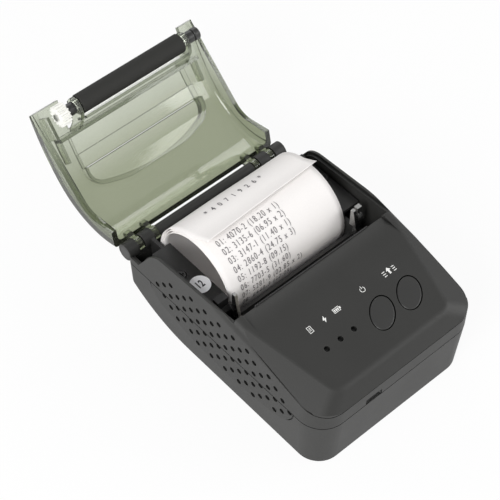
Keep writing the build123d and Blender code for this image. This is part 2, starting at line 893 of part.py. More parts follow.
with BuildPart() as paper_cover:
    add(cover_form_full)
    add(shell_inside, mode=Mode.SUBTRACT)
    add(rim_below(rim_gap - lip_drop, -half_width - 1, half_width + 1), mode=Mode.SUBTRACT)
    for low, high in both_sides(inner_x + lip_wall - cover_wall + case_wall, half_width + 1):
        add(rim_below(rim_gap, low, high), mode=Mode.SUBTRACT)
    add(dish_wall.part)
    add(dish_form(0, 0), mode=Mode.SUBTRACT)
    add(slab([(notch_out, 10), (tip_out + 5, 10), (tip_out + 5, 30), (notch_out, 30)],
             notch_left, notch_right, cover_side), mode=Mode.SUBTRACT)
    rib_left, rib_right = 5.3 - half_width, half_width - 6.3
    add(slab([(45.2, 15), (46.6, 15), (46.6, 22), (45.2, 22.2)], rib_left, rib_right, cover_side))
    for low in (rib_left, rib_right - rib_width):
        add(slab([(36.3, 19), (45.2, 17.5), (45.2, 22), (36.3, 23)], low, low + rib_width, cover_side))
    add(slab([(47.7, 10.8), (57.0, 10.0), (57.0, 19), (47.7, 21.8)],
             2.4 - half_width, 2.4 - half_width + rib_width, cover_side))
    for ring in (inner_ring_x, outer_ring_x):
        for low, high in both_sides(*ring):
            add(cover_rod(ring_radius, low, high, 0, 0))
            add(slab(ring_arm, low, high, cover_side))
            add(cover_rod(hinge_pin_radius + running_fit, low - 1, high + 1, 0, 0), mode=Mode.SUBTRACT)
keep(paper_cover.part, "paper_cover")


# Platen roller and its carrier in the cover

bracket_inner_x = roller_length / 2 + 0.6
bracket_width = 1.6
bush_end_x = frame_inner_x + frame_wall + 0.5
knob_x = bush_end_x + 0.4
knob_width = 2.6
knob_radius = 2.6
gear_inner_x = gear_side_x - 2 * gear_width


def gear_outline(teeth, phase):
    """A gear's outline about the origin, with one tooth centred at phase in degrees."""
    pitch_radius = gear_module * teeth / 2
    base_radius = pitch_radius * cos(radians(20))
    tip_radius = pitch_radius + 0.8 * gear_module
    root_radius = pitch_radius - 1.15 * gear_module
    involute_at_pitch = tan(radians(20)) - radians(20)
    half_tooth = pi / (2 * teeth) - gear_play / pitch_radius

    def flank_angle(radius):
        """Half of the tooth's angle at a radius on the involute."""
        pressure = acos(min(1, base_radius / radius))
        return half_tooth + involute_at_pitch - (tan(pressure) - pressure)

    flank_start = max(base_radius, root_radius + 0.05)
    middle_radius = (flank_start + tip_radius) / 2

    def at(radius, angle):
        """A point at a radius and an angle."""
        return radius * cos(angle), radius * sin(angle)

    with BuildSketch() as outline:
        with BuildLine():
            for tooth in range(teeth):
                middle = radians(phase) + 2 * pi * tooth / teeth
                following = middle + 2 * pi / teeth
                root = flank_angle(flank_start)
                tip = flank_angle(tip_radius)
                flank = flank_angle(middle_radius)
                Line(at(root_radius, middle - root), at(flank_start, middle - root))
                ThreePointArc(
                    at(flank_start, middle - root), at(middle_radius, middle - flank),
                    at(tip_radius, middle - tip),
                )
                ThreePointArc(
                    at(tip_radius, middle - tip), at(tip_radius, middle), at(tip_radius, middle + tip)
                )
                ThreePointArc(
                    at(tip_radius, middle + tip), at(middle_radius, middle + flank),
                    at(flank_start, middle + root),
                )
                Line(at(flank_start, middle + root), at(root_radius, middle + root))
                ThreePointArc(
                    at(root_radius, middle + root), at(root_radius, (middle + following) / 2),
                    at(root_radius, following - root),
                )
        make_face()
    return outline.sketch


def gear_solid(teeth, phase, centre, x_low, x_high, bore, plane=Plane.YZ):
    """A spur gear about an axis along X, with a round bore."""
    along = plane.z_dir.X
    with BuildPart() as gear:
        with BuildSketch(plane.offset(along * x_low)):
            with Locations(centre):
                add(gear_outline(teeth, phase))
                Circle(bore, mode=Mode.SUBTRACT)
        extrude(amount=along * (x_high - x_low))
    return gear.part


def direction(start, end):
    """Direction in degrees from one point to another."""
    return degrees(atan2(end[1] - start[1], end[0] - start[0]))


def mesh_phase(phase, teeth, next_teeth, toward):
    """Phase of the next gear, so that its gaps take the teeth of the gear with the given phase."""
    offset_on_line = (toward - phase) % (360 / teeth)
    return toward + 180 + offset_on_line * teeth / next_teeth + 180 / next_teeth


def meshing_distance(teeth, next_teeth):
    """Distance of two gears' axes."""
    return gear_module * (teeth + next_teeth) / 2


def apex(start, end, start_distance, end_distance):
    """The point on the +Y side that lies at two distances from two points."""
    span = hypot(end[0] - start[0], end[1] - start[1])
    along = (start_distance ** 2 - end_distance ** 2 + span ** 2) / (2 * span)
    aside = sqrt(start_distance ** 2 - along ** 2)
    unit = ((end[0] - start[0]) / span, (end[1] - start[1]) / span)
    return start[0] + unit[0] * along + unit[1] * aside, start[1] + unit[1] * along - unit[0] * aside


# The closing cover brings the platen gear straight down on to the idler.
roller_axis = (roller_y, roller_z)
roller_reach = hypot(roller_from_hinge, roller_above_hinge)
opening_way = (roller_above_hinge / roller_reach, roller_from_hinge / roller_reach)
idler_distance = meshing_distance(platen_teeth, idler_teeth)
idler_axis = (roller_y - opening_way[0] * idler_distance, roller_z - opening_way[1] * idler_distance)
motor_axis = (motor_y, motor_z)
wheel_axis = apex(
    motor_axis, idler_axis,
    meshing_distance(pinion_teeth, wheel_teeth), meshing_distance(pinion_teeth, idler_teeth),
)
idler_phase = direction(idler_axis, roller_axis)
platen_phase = mesh_phase(idler_phase, idler_teeth, platen_teeth, direction(idler_axis, roller_axis))
small_wheel_phase = mesh_phase(idler_phase, idler_teeth, pinion_teeth, direction(idler_axis, wheel_axis))
motor_phase = direction(motor_axis, wheel_axis)
wheel_phase = mesh_phase(motor_phase, pinion_teeth, wheel_teeth, motor_phase)

roller_place = (roller_from_hinge, roller_above_hinge)
bracket = [
    (46.6, 20.5), (46.6, 12.4), (50.4, 5.5), (53, 3.4), (55.8, 2.9),
    (58.4, 3.7), (59.5, 6.7), (58.6, 9.6), (56.0, 11.4), (50.2, 14.4), (47.5, 20.2),
]

with BuildPart() as roller_carrier:
    for low, high in both_sides(bracket_inner_x, bracket_inner_x + bracket_width):
        add(slab(bracket, low, high, cover_side))
    add(slab([(50.2, 3.4), (51.2, 3.6), (51.2, 9.4), (50.2, 9.8)],
             -bracket_inner_x, bracket_inner_x, cover_side))
    bush_hole = bush_radius + 0.02
    add(cover_rod(bush_hole, -half_width, half_width, *roller_place), mode=Mode.SUBTRACT)
keep(roller_carrier.part, "roller_carrier")

with BuildPart() as platen_bushes:
    for low, high in both_sides(bracket_inner_x, bush_end_x):
        add(cover_rod(bush_radius, low, high, *roller_place))
    add(cover_rod(shaft_radius + running_fit, -half_width, half_width, *roller_place), mode=Mode.SUBTRACT)
keep(platen_bushes.part, "platen_bushes")

with BuildPart() as platen_shaft:
    add(cover_rod(shaft_radius, -gear_side_x - 0.6, knob_x + knob_width + 0.4, *roller_place))
keep(platen_shaft.part, "platen_shaft")

with BuildPart() as platen_rubber:
    add(cover_rod(roller_radius, -roller_length / 2, roller_length / 2, *roller_place))
    ends = platen_rubber.edges().filter_by(GeomType.CIRCLE)
    fillet(ends, 0.5)
    add(cover_rod(shaft_radius, -roller_length / 2, roller_length / 2, *roller_place), mode=Mode.SUBTRACT)
keep(platen_rubber.part, "platen_rubber")

with BuildPart() as platen_gear:
    add(gear_solid(platen_teeth, 180 - platen_phase, roller_place, -gear_side_x, -gear_inner_x,
                   shaft_radius, cover_side))
keep(platen_gear.part, "platen_gear")

with BuildPart() as roller_knob:
    add(cover_rod(knob_radius, knob_x, knob_x + knob_width, *roller_place))
    fillet(roller_knob.edges().filter_by(GeomType.CIRCLE), 0.4)
    add(cover_rod(shaft_radius, knob_x - 1, knob_x + knob_width + 1, *roller_place), mode=Mode.SUBTRACT)
keep(roller_knob.part, "roller_knob")


# Print mechanism

slot_radius = bush_radius + running_fit
head_back_y = print_face_y - ceramic_thickness - head_thickness
head_pivot_y = print_face_y - ceramic_thickness - head_thickness / 2
wall_y = head_back_y - 3.7
wall_thickness = 1.2
frame_low = 3.0
flex_width = 18.0
frame_shelf_z = roller_z - 12.4
standoff_places = [(roller_y - 7.2, roller_z - 4), (roller_y - 7.1, roller_z - 17.7)]


def by_roller(points):
    """Points given from the roller's axis, as the case's y and z."""
    return [(roller_y + along, roller_z + up) for along, up in points]


def turned(vector, angle):
    """A direction in the YZ plane, turned by an angle in degrees."""
    turn = radians(angle)
    return (
        vector[0] * cos(turn) - vector[1] * sin(turn),
        vector[0] * sin(turn) + vector[1] * cos(turn),
    )


def slot_cutter():
    """The open slots that take the roller's bushes from above, flared towards the rear."""
    front_way = turned(opening_way, 1)
    rear_way = turned(opening_way, -7)
    front_point = (roller_y - slot_radius * opening_way[1], roller_z + slot_radius * opening_way[0])
    rear_point = (roller_y + slot_radius * opening_way[1], roller_z - slot_radius * opening_way[0])
    rise = 10.5
    with BuildPart() as slot:
        with BuildSketch(Plane.YZ.offset(-frame_inner_x - 2 * frame_wall)):
            with Locations(roller_axis):
                Circle(slot_radius)
            Polygon(
                front_point, rear_point,
                (rear_point[0] + rise * rear_way[0], rear_point[1] + rise * rear_way[1]),
                (front_point[0] + rise * front_way[0], front_point[1] + rise * front_way[1]),
                align=None,
            )
        extrude(amount=2 * frame_inner_x + 4 * frame_wall)
    return slot.part


# Behind each roller slot the side plate rises in a horn, which leans out over the paper bucket's wall.
horn_low = ledge_height - 2 * ledge_thickness + panel_gap
horn_top = roller_z + 9.1
horn_rear_y = frame_rear_y + 1.9
side_plate = [
    (mechanism_front_y, frame_low), (frame_rear_y, frame_low), (frame_rear_y, horn_low),
    (horn_rear_y, horn_low), (horn_rear_y, horn_top), (roller_y + 1, horn_top), (roller_y + 1, frame_top),
    (wall_y - wall_thickness, frame_top), (wall_y - wall_thickness, frame_shelf_z),
    (mechanism_front_y, frame_shelf_z),
]

with BuildPart() as mechanism_frame:
    for low, high in both_sides(frame_inner_x, frame_inner_x + frame_wall):
        add(slab(side_plate, low, high))
    inner = frame_inner_x
    shelf_top = frame_shelf_z + wall_thickness
    front_inside = mechanism_front_y + wall_thickness
    add(block(-inner, inner, wall_y - wall_thickness, wall_y, frame_shelf_z, frame_top))
    add(block(-inner, inner, wall_y - wall_thickness, front_inside, frame_shelf_z, shelf_top))
    add(block(-inner, inner, mechanism_front_y, front_inside, frame_low, shelf_top))
    for low, high in both_sides(frame_inner_x + frame_wall / 2, frame_screw_x + 2.2):
        add(block(low, high, frame_screw_y - 2.4, frame_screw_y + 1.9, frame_foot_height,
                  frame_foot_height + 1.4))
    add(slot_cutter(), mode=Mode.SUBTRACT)
    add(posts(frame_screw_places, screw_radius, frame_foot_height - 1, frame_foot_height + 3),
        mode=Mode.SUBTRACT)
    add(rod(gear_pin_radius, -frame_inner_x - 3, frame_inner_x + 3, head_pivot_y, head_pivot_z),
        mode=Mode.SUBTRACT)
    add(rod(gear_pin_radius + 0.9, -frame_inner_x - frame_wall, -frame_inner_x, *wheel_axis))
    for axis in (idler_axis, wheel_axis):
        add(rod(gear_pin_radius, -frame_inner_x - 3, -frame_inner_x + 1, *axis), mode=Mode.SUBTRACT)
    add(rod(1.4, -frame_inner_x - 3, -frame_inner_x + 1, *motor_axis), mode=Mode.SUBTRACT)
    add(rod(gear_pin_radius, frame_inner_x - 1, frame_inner_x + 3, lever_pivot_y, lever_pivot_z),
        mode=Mode.SUBTRACT)
    flex_slot_half = flex_width / 2 + 2
    add(block(-flex_slot_half, flex_slot_half, wall_y - 2, wall_y + 1, board_top + 0.1, board_top + 2.3),
        mode=Mode.SUBTRACT)
keep(mechanism_frame.part, "mechanism_frame")

with BuildPart() as head_plate:
    head_half = head_width / 2
    add(block(-head_half, head_half, head_back_y, head_back_y + head_thickness, head_pivot_z, head_top))
    add(rod(2.0, -head_half, head_half, head_pivot_y, head_pivot_z))
    add(rod(gear_pin_radius + running_fit, -head_half - 1, head_half + 1, head_pivot_y, head_pivot_z),
        mode=Mode.SUBTRACT)
keep(head_plate.part, "head_plate")

with BuildPart() as head_ceramic:
    add(block(-head_half + 0.5, head_half - 0.5, head_back_y + head_thickness, print_face_y,
              roller_z - 4.2, head_top - 0.6))
keep(head_ceramic.part, "head_ceramic")

with BuildPart() as head_pivot:
    add(rod(gear_pin_radius, -frame_inner_x - frame_wall, frame_inner_x + frame_wall,
            head_pivot_y, head_pivot_z))
keep(head_pivot.part, "head_pivot")

with BuildPart() as head_springs:
    with BuildSketch(Plane.XZ.offset(-wall_y)):
        with Locations((-15, roller_z - 0.7), (15, roller_z - 0.7)):
            Circle(2.0)
            Circle(1.5, mode=Mode.SUBTRACT)
    extrude(amount=wall_y - head_back_y)
keep(head_springs.part, "head_springs")

flex_top = roller_z - 3.2
with BuildPart() as head_flex:
    with BuildSketch(Plane.YZ.offset(-flex_width / 2)):
        with BuildLine():
            Polyline(
                (head_back_y, flex_top - 0.4), (head_back_y, flex_top), (head_back_y - 0.3, flex_top),
                (head_back_y - 2.0, board_top + 2.0), (wall_y - 3.0, board_top + 1.0),
                (wall_y - 4.4, board_top + 0.4), (wall_y - 4.4, board_top),
                (wall_y - 2.8, board_top + 0.5), (head_back_y - 1.8, board_top + 1.5), close=True,
            )
        make_face()
    extrude(amount=flex_width)
keep(head_flex.part, "head_flex")

motor_face_x = -frame_inner_x
with BuildPart() as stepper_motor:
    add(rod(motor_radius, motor_face_x, motor_face_x + motor_length, *motor_axis))
    fillet(stepper_motor.edges().filter_by(GeomType.CIRCLE), 0.4)
    add(rod(0.8, motor_face_x - 1, motor_face_x + 5, *motor_axis), mode=Mode.SUBTRACT)
keep(stepper_motor.part, "stepper_motor")

wheel_inner_x = -frame_inner_x - frame_wall - 0.8
pinion_x = (wheel_inner_x - 1.6, wheel_inner_x)
small_wheel_x = (-gear_side_x, pinion_x[0] - 0.3)

with BuildPart() as motor_shaft:
    add(rod(0.75, pinion_x[0] - 0.2, motor_face_x + 4.5, *motor_axis))
keep(motor_shaft.part, "motor_shaft")

with BuildPart() as motor_pinion:
    add(gear_solid(pinion_teeth, motor_phase, motor_axis, *pinion_x, 0.75))
keep(motor_pinion.part, "motor_pinion")

with BuildPart() as reduction_gear:
    bore = gear_pin_radius + running_fit
    add(gear_solid(wheel_teeth, wheel_phase, wheel_axis, pinion_x[0] + 0.1, pinion_x[1] - 0.1, bore))
    add(gear_solid(pinion_teeth, small_wheel_phase, wheel_axis, small_wheel_x[0], pinion_x[0] + 0.1, bore))
keep(reduction_gear.part, "reduction_gear")

with BuildPart() as idler_gear:
    bore = gear_pin_radius + running_fit
    add(gear_solid(idler_teeth, idler_phase, idler_axis, -gear_side_x, pinion_x[0] - 0.4, bore))
keep(idler_gear.part, "idler_gear")

cover_plate_x = -gear_side_x - 0.6
with BuildPart() as gear_pins:
    for axis in (idler_axis, wheel_axis):
        add(rod(gear_pin_radius, cover_plate_x + 0.2, -frame_inner_x - 0.1, *axis))
keep(gear_pins.part, "gear_pins")

with BuildPart() as gear_cover:
    plate = by_roller([
        (-8.7, -25.2), (-0.5, -27.8), (6.5, -25.4), (14.9, -19.7), (15.1, -12.2), (10.3, -3.2),
        (-6.5, -2.4), (-8.7, -2.4),
    ])
    add(slab(plate, cover_plate_x - 1.0, cover_plate_x))
    hook = by_roller([(5.9, -5.2), (10.3, -5.2), (10.3, 2.8), (7.1, 2.8), (5.9, 1.2)])
    add(slab(hook, cover_plate_x - 1.0, -frame_inner_x - frame_wall - 0.6))
    for standoff in standoff_places:
        add(rod(1.5, cover_plate_x - 0.5, -frame_inner_x - frame_wall, *standoff))
    add(block(cover_plate_x - 0.3, -frame_inner_x - frame_wall - 0.6, roller_y + 7.3, roller_y + 10.3,
              roller_z + 1.8, roller_z + 6.8))
keep(gear_cover.part, "gear_cover")

with BuildPart() as latch_pin:
    add(rod(gear_pin_radius, frame_inner_x, lever_x + lever_width + 0.6, lever_pivot_y, lever_pivot_z))
keep(latch_pin.part, "latch_pin")

with BuildPart() as latch_lever:
    lever = by_roller([
        (1.7, -5.8), (4.4, -2.7), (4.6, 2.8), (3.7, 3.3), (3.7, 4.9), (4.7, 6.2), (4.9, 9.2),
        (6.7, 9.2), (6.7, -3.2), (4.5, -7.6), (2.7, -8.8),
    ])
    add(slab(lever, lever_x, lever_x + lever_width))
    add(rod(2.2, lever_x, lever_x + lever_width, lever_pivot_y, lever_pivot_z))
    add(rod(gear_pin_radius + running_fit, lever_x - 1, lever_x + lever_width + 1,
            lever_pivot_y, lever_pivot_z), mode=Mode.SUBTRACT)
keep(latch_lever.part, "latch_lever")


# Paper bucket and paper

bucket_half = paper_width / 2 + 0.55
bucket_front_top = bucket_z + 1.9
bucket_rear_top = hinge_height + 0.1
ledge_front = roller_y + 10.5
ledge_rear = rear_y - 12.6
ledge_half = inner_x - 0.4


def trough(grow, half_length, top):
    """A U-shaped trough section, open upwards."""
    radius = bucket_radius + grow
    with BuildPart() as section:
        with BuildSketch(Plane.YZ.offset(-half_length)):
            with BuildLine():
                front, rear = bucket_y - radius, bucket_y + radius
                ThreePointArc((front, bucket_z), (bucket_y, bucket_z - radius), (rear, bucket_z))
                Polyline((rear, bucket_z), (rear, top), (front, top), (front, bucket_z))
            make_face()
        extrude(amount=2 * half_length)
    return section.part


with BuildPart() as paper_bucket:
    add(trough(bucket_wall, bucket_half + bucket_wall, ledge_height))
    add(trough(0, bucket_half, ledge_height + 1), mode=Mode.SUBTRACT)
    add(block(-bucket_half, bucket_half, roller_y, bucket_y, bucket_front_top, ledge_height + 1),
        mode=Mode.SUBTRACT)
    add(block(-bucket_half, bucket_half, bucket_y, rear_y, bucket_rear_top, ledge_height + 1),
        mode=Mode.SUBTRACT)
    add(block(-half_width, half_width, ledge_rear, rear_y, bucket_rear_top + 5, ledge_height + 1),
        mode=Mode.SUBTRACT)
    add(block(-half_width, half_width, roller_y, ledge_front, ledge_height - 2 * ledge_thickness,
              ledge_height + 1), mode=Mode.SUBTRACT)
    for low, high in both_sides(bucket_half + bucket_wall / 2, ledge_half):
        add(block(low, high, ledge_front, ledge_rear, ledge_height - ledge_thickness, ledge_height))
    add(posts(ledge_screw_places, screw_radius, ledge_height - 3, ledge_height + 1), mode=Mode.SUBTRACT)
    add(posts(ledge_screw_places, screw_head_radius + 0.2, ledge_height - 0.9, ledge_height + 1),
        mode=Mode.SUBTRACT)
keep(paper_bucket.part, "paper_bucket")

flap_angle = 78.0
flap_straight = 7.0


def spiral(layer_radius):
    """Arcs of the wound sheet from the lifted free end inwards, at an offset from its middle line."""
    flap = radians(flap_angle)
    free = (
        roll_centre_y + layer_radius * cos(flap) - flap_straight * sin(flap),
        roll_centre_z + layer_radius * sin(flap) + flap_straight * cos(flap),
    )
    start = (roll_centre_y + layer_radius * cos(flap), roll_centre_z + layer_radius * sin(flap))
    lines = [("line", free, start)]
    centre = roll_centre_y
    radius = layer_radius
    lines.append(("arc", start, (centre + radius * cos(flap / 2), roll_centre_z + radius * sin(flap / 2)),
                  (centre + radius, roll_centre_z)))
    side = 1
    for _ in range(roll_half_turns):
        centre += side * layer_step
        radius -= layer_step
        lines.append(("arc", (centre + side * radius, roll_centre_z), (centre, roll_centre_z - side * radius),
                      (centre - side * radius, roll_centre_z)))
        side = -side
    return lines


with BuildPart() as paper_roll:
    with BuildSketch(Plane.YZ.offset(-paper_width / 2)):
        with BuildLine():
            half_sheet = sheet_thickness / 2
            outer = spiral(roll_radius + half_sheet)
            inner_layer = spiral(roll_radius - half_sheet)
            for kind, *points in outer + inner_layer:
                if kind == "line":
                    Line(*points)
                else:
                    ThreePointArc(*points)
            Line(outer[0][1], inner_layer[0][1])
            Line(outer[-1][-1], inner_layer[-1][-1])
        make_face()
    extrude(amount=paper_width)
keep(paper_roll.part, "paper_roll")

# The wound sheet's least gap to itself, measured on points of its middle line
points_per_arc = 60
sheet_points = [
    ThreePointArc(*points) @ (step / points_per_arc)
    for kind, *points in spiral(roll_radius) if kind == "arc"
    for step in range(points_per_arc)
]
least_pitch = min(
    (point - other).length
    for number, point in enumerate(sheet_points)
    for other in sheet_points[number + 3 * points_per_arc // 2:]
)
print(f"least gap between the paper's layers: {least_pitch - sheet_thickness:.2f} mm")

sticker_radius = 4.0
with BuildPart() as inspection_sticker:
    with BuildSketch(Plane.XY.offset(ledge_height)):
        with Locations((sticker_radius + 0.15 - ledge_half, bucket_y - 8.0)):
            Circle(sticker_radius)
    extrude(amount=0.12)
keep(inspection_sticker.part, "inspection_sticker")


# Battery and door

battery_low = door_thickness + 0.5
battery_height = board_height - battery_low - battery_room_above
with BuildPart() as battery_pack:
    add(block(-battery_width / 2, battery_width / 2, battery_front_y, battery_front_y + battery_depth,
              battery_low, battery_low + battery_height))
    fillet(battery_pack.edges().filter_by(Axis.X), 2.5)
keep(battery_pack.part, "battery_pack")

with BuildPart() as battery_contacts:
    contact_y = battery_front_y + battery_depth
    low, high = battery_low + 6, battery_low + 13
    for contact_x in (-6, 0, 6):
        add(block(contact_x - 1, contact_x + 1, contact_y, contact_y + 0.9, low, high))
keep(battery_contacts.part, "battery_contacts")

with BuildPart() as battery_door:
    door_half = door_half_width - panel_gap
    add(block(-door_half, door_half, door_pivot_y, door_rear - panel_gap, 0, door_thickness))
    add(rod(door_thickness / 2, -door_half, door_half, door_pivot_y, door_pivot_z))
    pin_reach = door_half_width + 1.0
    add(rod(door_pin_radius, -pin_reach, pin_reach, door_pivot_y, door_pivot_z))
    with BuildSketch(Plane.XY):
        with Locations((0, door_rear - panel_gap - 3.5)):
            SlotOverall(16, 3)
    extrude(amount=0.8, mode=Mode.SUBTRACT)
keep(battery_door.part, "battery_door")


# Boards and their parts

board_rear = wall_y - wall_thickness - 0.8
board_step = front_y + 12
with BuildPart() as main_board:
    add(block(11 - half_width, half_width - 11, board_front, board_step, board_height, board_top))
    add(block(5.2 - half_width, half_width - 5.2, board_step, board_rear, board_height, board_top))
    add(posts(board_screw_places, screw_radius + 0.1, 0, body_width), mode=Mode.SUBTRACT)
keep(main_board.part, "main_board")

with BuildPart() as board_parts:
    for x, y, length, width, height in (
        (2, 23, 12, 12, 1.6), (-18, 19, 6, 6, 1.2), (19, 21, 13, 17, 2.2), (-6, 11, 5, 4, 1.0),
        (-24, 31, 8, 6, 4.0), (8, 8, 4, 4, 1.5),
    ):
        middle = front_y + y
        add(block(x - length / 2, x + length / 2, middle - width / 2, middle + width / 2,
                  board_top, board_top + height))
    add(posts([(-10, front_y + 29), (16, front_y + 7)], 2.5, board_top, board_top + 4))
keep(board_parts.part, "board_parts")

with BuildPart() as charge_socket:
    socket_front = front_y + 0.4
    half = socket_width / 2
    shell = 0.3
    add(block(socket_x - half, socket_x + half, socket_front, socket_front + socket_depth,
              board_top, board_top + socket_height))
    fillet(charge_socket.edges().filter_by(Axis.Y), 0.6)
    add(block(socket_x - half + shell, socket_x + half - shell, socket_front - 1,
              socket_front + socket_depth - 1, board_top + shell, board_top + socket_height - shell),
        mode=Mode.SUBTRACT)
keep(charge_socket.part, "charge_socket")

with BuildPart() as socket_tongue:
    middle_z = board_top + socket_height / 2
    add(block(socket_x - 2.7, socket_x + 2.7, socket_front + 0.8, socket_front + socket_depth - 1,
              middle_z - 0.3, middle_z + 0.3))
keep(socket_tongue.part, "socket_tongue")

key_board_front = on_panel(0, front_y + 8)[1]
key_board_rear = on_panel(0, front_y + 31)[1]
with BuildPart() as key_board:
    with BuildSketch(panel_plane.offset(-key_board_depth - board_thickness)):
        with Locations((0, (key_board_front + key_board_rear) / 2)):
            Rectangle(body_width - 20, key_board_rear - key_board_front)
        with Locations(*[on_panel(*place) for place in key_board_screw_places]):
            Circle(screw_radius + 0.1, mode=Mode.SUBTRACT)
    extrude(amount=board_thickness)
keep(key_board.part, "key_board")

flange_thickness = 0.8
stem_length = 0.9
flange_low = -case_wall - button_travel - flange_thickness - 0.2
plunger_top = flange_low - stem_length - 0.05
switch_body_height = 2.0


def key_button(place):
    """A button cap with its flange under the panel and a stem over its switch."""
    with BuildPart() as button:
        add(panel_oval(place, 0, flange_low, 0.1))
        top_edges = button.edges().sort_by(SortBy.LENGTH)[-2:].sort_by(Axis.Z)[-1:]
        fillet(top_edges, button_edge)
        with BuildSketch(panel_plane.offset(flange_low)):
            with Locations(on_panel(*place)):
                Ellipse(button_long + 1.0, button_short + 1.0, rotation=button_turn)
        extrude(amount=flange_thickness)
        add(panel_posts([place], 1.4, flange_low - stem_length, flange_low))
    return button.part


with BuildPart() as feed_button:
    add(key_button(button_places[1]))
keep(feed_button.part, "feed_button")

with BuildPart() as power_button:
    add(key_button(button_places[0]))
keep(power_button.part, "power_button")

with BuildPart() as key_switches:
    for place in button_places:
        with BuildSketch(panel_plane.offset(-key_board_depth)):
            with Locations(on_panel(*place)):
                Rectangle(6, 6)
        extrude(amount=switch_body_height)
    add(panel_posts(button_places, 1.5, -key_board_depth + switch_body_height, plunger_top - button_travel))
keep(key_switches.part, "key_switches")

led_top = -key_board_depth + 1.2
with BuildPart() as status_leds:
    for place in led_places:
        with BuildSketch(panel_plane.offset(-key_board_depth)):
            with Locations(on_panel(*place)):
                Rectangle(1.8, 1.4)
        extrude(amount=1.2)
keep(status_leds.part, "status_leds")

with BuildPart() as light_pipes:
    add(panel_posts(led_places, led_hole_radius - 0.05, led_top + 0.1, -light_pipe_depth))
    add(panel_posts(led_places, led_hole_radius + 0.6, -case_wall - 1.0, -case_wall - 0.05))
keep(light_pipes.part, "light_pipes")


# Fasteners

with BuildPart() as case_screws:
    add(screws(case_screw_places[:2], case_screw_radius, case_screw_head, 2.0, case_screw_seat,
               case_boss_top_front - 1.5 - case_screw_seat, -1))
    add(screws(case_screw_places[2:], case_screw_radius, case_screw_head, 2.0, case_screw_seat,
               case_boss_top_rear - 0.7 - case_screw_seat, -1))
keep(case_screws.part, "case_screws")

with BuildPart() as board_screws:
    add(screws(board_screw_places, screw_radius, screw_head_radius, screw_head_height, board_top, 4.8))
keep(board_screws.part, "board_screws")

with BuildPart() as ledge_screws:
    add(screws(ledge_screw_places, screw_radius, screw_head_radius, screw_head_height,
               ledge_height - 0.9, 5.0))
keep(ledge_screws.part, "ledge_screws")

with BuildPart() as frame_screws:
    add(screws(frame_screw_places, screw_radius, screw_head_radius, screw_head_height,
               frame_foot_height + 1.4, 4.5))
keep(frame_screws.part, "frame_screws")

with BuildPart() as key_board_screws:
    below = -key_board_depth - board_thickness
    add(panel_posts(key_board_screw_places, screw_head_radius, below - screw_head_height, below))
    add(panel_posts(key_board_screw_places, screw_radius, below, -case_wall - 0.6))
keep(key_board_screws.part, "key_board_screws")
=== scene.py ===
import json
from math import cos, hypot, pi, radians, sin

import bmesh
import bpy
from mathutils import Matrix, Vector


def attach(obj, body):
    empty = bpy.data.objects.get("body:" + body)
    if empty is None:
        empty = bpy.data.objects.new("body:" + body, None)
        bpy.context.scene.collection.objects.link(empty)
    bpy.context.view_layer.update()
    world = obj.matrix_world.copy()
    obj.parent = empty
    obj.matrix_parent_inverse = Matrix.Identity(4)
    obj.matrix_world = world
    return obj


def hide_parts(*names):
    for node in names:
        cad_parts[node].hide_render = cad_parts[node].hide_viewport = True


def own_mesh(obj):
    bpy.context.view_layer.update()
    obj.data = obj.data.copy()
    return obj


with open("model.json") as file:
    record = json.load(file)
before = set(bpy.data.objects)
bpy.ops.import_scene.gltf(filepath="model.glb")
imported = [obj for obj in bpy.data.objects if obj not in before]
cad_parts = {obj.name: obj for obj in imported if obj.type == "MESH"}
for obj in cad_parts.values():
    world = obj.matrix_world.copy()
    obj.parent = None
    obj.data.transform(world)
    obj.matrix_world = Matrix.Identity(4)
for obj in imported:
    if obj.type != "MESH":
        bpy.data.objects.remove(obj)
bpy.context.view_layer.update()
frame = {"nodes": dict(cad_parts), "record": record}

MM = 0.001
slots_by_node = {entry["node"]: entry["material_slot"] for entry in frame["record"]["subparts"]}


# Camera, placed and turned as the photograph's perspective asks

image_width = 500
focal_length_in_pixels = 1711.7
camera_azimuth = radians(-43.5)
camera_elevation = radians(51.75)
camera_roll = radians(1.97)
camera_target = Vector((0.26, 28.3, 19.65)) * MM
camera_distance = 653.8 * MM
sensor_width = 36.0


def add_camera():
    """The photograph's camera."""
    back = Vector((
        cos(camera_elevation) * sin(camera_azimuth),
        -cos(camera_elevation) * cos(camera_azimuth),
        sin(camera_elevation),
    ))
    level_right = Vector((cos(camera_azimuth), sin(camera_azimuth), 0))
    level_up = back.cross(level_right)
    right = level_right * cos(camera_roll) + level_up * sin(camera_roll)
    up = level_up * cos(camera_roll) - level_right * sin(camera_roll)
    data = bpy.data.cameras.new("camera")
    data.sensor_width = sensor_width
    data.lens = focal_length_in_pixels / image_width * sensor_width
    data.clip_start = 0.05
    data.clip_end = 20
    camera = bpy.data.objects.new("camera", data)
    place = camera_target + back * camera_distance
    camera.matrix_world = Matrix((
        (right.x, up.x, back.x, place.x),
        (right.y, up.y, back.y, place.y),
        (right.z, up.z, back.z, place.z),
        (0, 0, 0, 1),
    ))
    bpy.context.scene.collection.objects.link(camera)
    bpy.context.scene.camera = camera


# Materials

speck_share = 0.4

# Cosines between the rounded and the true normal: the edge tone, partly wear and partly painted light (a
# painted highlight on the dark plastics, painted shade on the cover), is full below the first and gone
# above the second
edge_cosines = (0.80, 0.995)

# Openness of a groove, for the painted shade in grooves and seams: darkest below the first, not darkened
# above the second
groove_openness = (0.45, 0.95)
painted_groove_shade = 0.12


def wire(tree, source, output, target, entry):
    """Link one node's output to another's input."""
    tree.links.new(source.outputs[output], target.inputs[entry])


def noise_node(tree, source, output, scale, detail, roughness):
    """A noise texture at the given coordinates, with scale in cycles per metre."""
    noise = tree.nodes.new("ShaderNodeTexNoise")
    noise.inputs["Scale"].default_value = scale
    noise.inputs["Detail"].default_value = detail
    noise.inputs["Roughness"].default_value = roughness
    wire(tree, source, output, noise, "Vector")
    return noise


